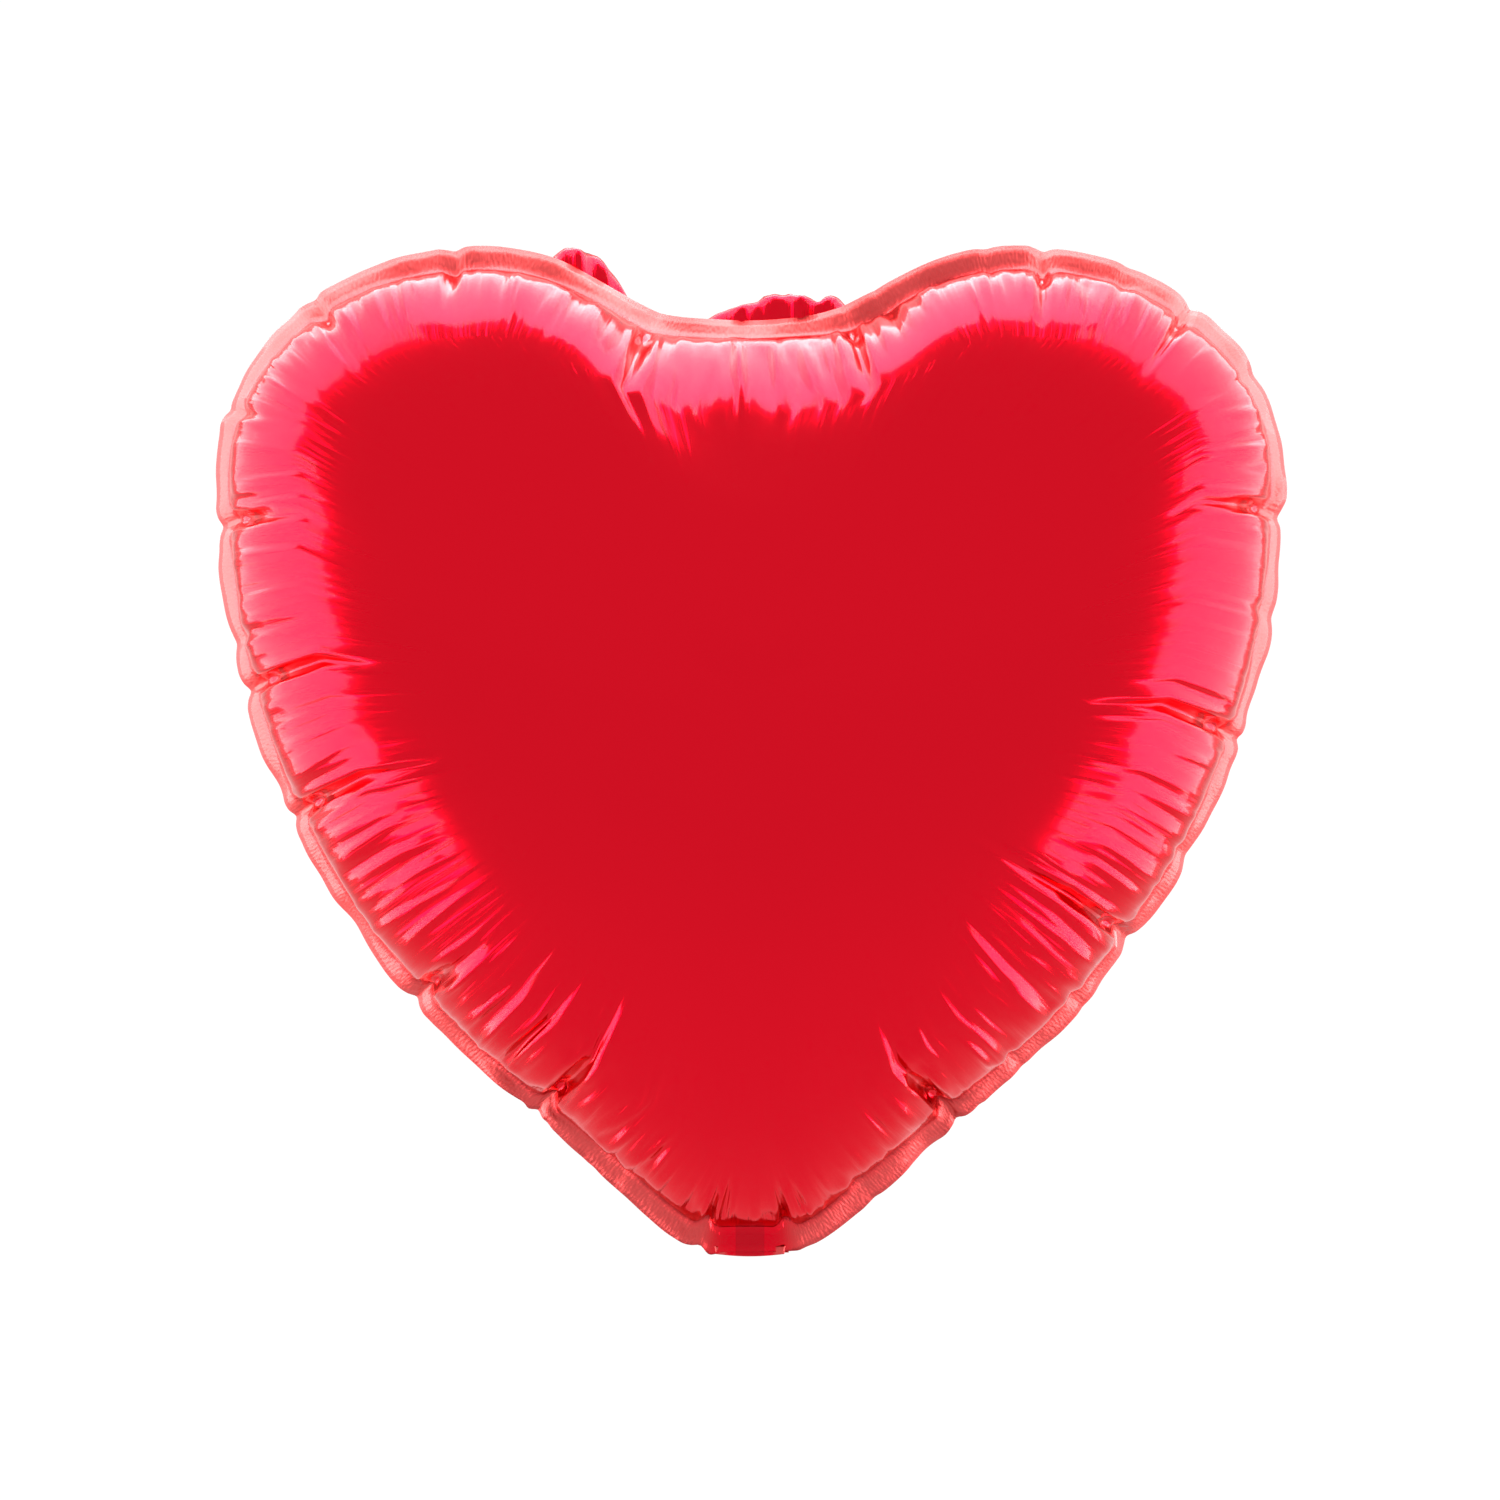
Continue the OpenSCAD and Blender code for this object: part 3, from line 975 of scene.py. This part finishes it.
def waves(run, share, seed, height):
    """Low chance waves over a strip."""
    lengths, of_each = (0.031, 0.017, 0.009), 3
    turn = 6.283
    rng = np.random.default_rng(seed)
    total = np.zeros(len(run))
    for size in lengths:
        for _ in range(of_each):
            phase, lean = rng.uniform(0, 6.3), rng.normal(0, 1.2)
            stretch = rng.uniform(0.8, 1.25)
            total += size / lengths[0] * np.sin(turn * run / size / stretch + phase + lean * share)
    return total / of_each * height


def tail_sway(run, share):
    """The waves that the tail's foils and the films between them share."""
    return waves(run, share, 41, 0.00035) * np.clip(run / TAIL_WAVE_RUN, 0, 1)


class BALLOON_OT_tail(bpy.types.Operator):
    """Make the filling tail, folded up behind the tip"""
    bl_idname = "balloon.tail"
    bl_label = "Tail"

    # The foils part over this share of their width, by so much, and by more near the open end
    PUFF_SHARE, PUFF, OPENING, OPEN_REACH = 0.72, 0.0003, 0.0012, 0.010
    # Room that the foils leave at the crease, and how the crease bows down in its middle
    NECK_ROOM, CREASE_BOW, BOW_RUN = 0.0002, 0.0011, 0.0012

    def execute(self, context):
        foil = material("red_foil", foil_finish, context.scene.balloon_finish)
        width = TAIL_HIGH.x - TAIL_LOW.x
        for name, side, node, slot in (("tail_front_foil", -1, "tail_front_ply", "foil_front"),
                                       ("tail_back_foil", 1, "tail_back_ply", "foil_back")):
            strip = Strip(width, -TAIL_ROOT, TAIL_RUN, fold_line, corner=0.004, along=150)
            puff = np.clip(1 - (strip.share / self.PUFF_SHARE) ** 2, 0, 1) ** 1.2
            grown = np.clip(strip.run / TAIL_WAVE_RUN, 0, 1)
            open_end = np.exp(-(TAIL_RUN - strip.run) / self.OPEN_REACH)
            sway = tail_sway(strip.run, strip.share)
            gap = FILM + FOIL / 2 + puff * grown * (self.PUFF + self.OPENING * open_end)
            gap = gap + waves(strip.run, strip.share, 43 + side, 0.00012) * puff * grown
            gap = gap + self.NECK_ROOM * (1 - grown)
            piece = strip.made(name, side, gap + side * sway, FOIL, foil)
            places = get_places(piece.data)
            bow = self.CREASE_BOW * np.clip(1 - (places[:, 0] * 2 / width) ** 2, 0, 1)
            places[:, 2] -= bow * np.exp(-(strip.run / self.BOW_RUN) ** 2)
            set_places(piece.data, places)
            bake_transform(piece)
            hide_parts(node)
        seal = material("heat_seal", seal_finish, context.scene.balloon_finish)
        welds = frame["nodes"]["tail_side_welds"]
        welds.data.materials.clear()
        welds.data.materials.append(seal)
        return {"FINISHED"}


class BALLOON_OT_valve(bpy.types.Operator):
    """Make the two films of the valve: their mouth, neck and tongue"""
    bl_idname = "balloon.valve"
    bl_label = "Valve films"

    # The run over which the tongue's waves grow from its root; no shorter film is a sheet
    WAVE_RUN = 0.010

    def execute(self, context):
        clear = material("clear_film", film_finish)
        width = FILM_HIGH.x - FILM_LOW.x
        for half, side in (("front", -1), ("back", 1)):
            for part, body, start, end, line, corner in (
                    ("mouth", "tail", CREASE_GAP, MOUTH_RUN, fold_line, 0.0),
                    ("neck", "envelope", FILM_LOW.z, FILM_HIGH.z, straight_up, 0.0),
                    ("tongue", "valve_tongue", TONGUE_LOW.z, TONGUE_HIGH.z, straight_up, 0.003)):
                strip = Strip(width, start, end, line, corner, across=20, along=80)
                sway = 0 * strip.run
                if part == "mouth":
                    sway = tail_sway(strip.run, strip.share * width / (TAIL_HIGH.x - TAIL_LOW.x))
                elif part == "tongue":
                    sway = waves(strip.run, strip.share, 61, 0.0005)
                    sway = sway * np.clip((strip.run - start) / self.WAVE_RUN, 0, 1)
                film = strip.made(f"valve_{part}_{half}", side, FILM / 2 + side * sway, FILM, clear)
                if part == "mouth":
                    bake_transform(film)
                else:
                    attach(film, body)
                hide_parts(f"{part}_{half}_film")
        return {"FINISHED"}


class BALLOON_OT_stage(bpy.types.Operator):
    """Set the floor, the soft lights and the camera"""
    bl_idname = "balloon.stage"
    bl_label = "Stage"

    def execute(self, context):
        scene, stage = context.scene, context.scene.balloon_stage
        aim = Vector((0, 0, (CAD_BOX[0][2] + CAD_BOX[1][2]) / 2))
        self.floor(stage)
        world = bpy.data.worlds.new("surroundings")
        scene.world = world
        world.use_nodes = True
        world.node_tree.nodes["Background"].inputs["Color"].default_value = (1, 1, 1, 1)
        world.node_tree.nodes["Background"].inputs["Strength"].default_value = stage.sky
        scene.view_settings.view_transform = "Standard"
        for k, (share, forward) in enumerate(LIGHTS):
            turn = 2 * math.pi * k / len(LIGHTS)
            outward = Vector((math.sin(turn), 0, math.cos(turn)))
            self.light(f"light_{k}", aim, outward, forward, share * stage.light)
        camera = bpy.data.cameras.new("camera")
        camera.lens = camera.sensor_width * stage.distance / stage.view_width
        holder = bpy.data.objects.new("camera", camera)
        scene.collection.objects.link(holder)
        holder.location = (0, -stage.distance, aim.z)
        holder.rotation_euler = (math.pi / 2, 0, 0)
        scene.camera = holder
        return {"FINISHED"}

    def floor(self, stage):
        bm = bmesh.new()
        bmesh.ops.create_grid(bm, x_segments=8, y_segments=8, size=12.0)
        bmesh.ops.translate(bm, verts=bm.verts, vec=(0, 0, -stage.floor_drop))
        floor = new_object("floor", bm)
        pale = Finish("pale_floor")
        where = pale.node("ShaderNodeTexCoord", output="Object")
        cloud = pale.stretched_noise(where, (1.5, 1.5, 1.5), dimensions="3D")
        floor.data.materials.append(pale.surface({
            "Base Color": (0.04, 0.04, 0.04, 1.0),
            "Roughness": 0.9,
            "Specular IOR Level": 0.0,
            "Emission Color": pale.blend_colour(cloud, (0.97, 0.97, 0.97), (1.0, 1.0, 1.0)),
            "Emission Strength": 1.0,
        }))

    def light(self, name, aim, outward, forward, bright):
        """A soft light that faces the heart from one side; its power goes with its area."""
        stage = bpy.context.scene.balloon_stage
        lamp = bpy.data.lights.new(name, "AREA")
        lamp.shape = "RECTANGLE"
        lamp.size, lamp.size_y = LIGHT_WIDTH * stage.ring, stage.light_length
        lamp.energy = bright * math.pi * lamp.size * lamp.size_y
        holder = bpy.data.objects.new(name, lamp)
        bpy.context.scene.collection.objects.link(holder)
        along = Vector((0, 1, 0))
        turned = Matrix((along.cross(outward), along, outward)).transposed().to_4x4()
        middle = aim + outward * stage.ring + along * (stage.light_length / 2 - forward)
        holder.matrix_world = Matrix.Translation(middle) @ turned


class BALLOON_PT_maker(bpy.types.Panel):
    """Shows the balloon's settings and the buttons of its operators"""
    bl_label = "Foil balloon"
    bl_space_type = "VIEW_3D"
    bl_region_type = "UI"
    bl_category = "Balloon"

    def draw(self, context):
        for group in GROUPS:
            settings = getattr(context.scene, group)
            box = self.layout.box()
            for name in settings.bl_rna.properties.keys():
                if name not in ("rna_type", "name"):
                    box.prop(settings, name)
        for operator in OPERATORS:
            self.layout.operator(operator.bl_idname)


GROUPS = {
    "balloon_air": BALLOON_PG_air,
    "balloon_creases": BALLOON_PG_creases,
    "balloon_finish": BALLOON_PG_finish,
    "balloon_stage": BALLOON_PG_stage,
}
OPERATORS = [BALLOON_OT_stage, BALLOON_OT_panels, BALLOON_OT_tail, BALLOON_OT_valve]


def register():
    for group in GROUPS.values():
        bpy.utils.register_class(group)
    for name, group in GROUPS.items():
        setattr(bpy.types.Scene, name, PointerProperty(type=group))
    for kind in (*OPERATORS, BALLOON_PT_maker):
        bpy.utils.register_class(kind)


def unregister():
    for kind in (BALLOON_PT_maker, *OPERATORS, *GROUPS.values()):
        bpy.utils.unregister_class(kind)
    for name in GROUPS:
        delattr(bpy.types.Scene, name)


def main():
    register()
    for operator in OPERATORS:
        family, name = operator.bl_idname.split(".")
        getattr(getattr(bpy.ops, family), name)()


if __name__ == "__main__":
    main()
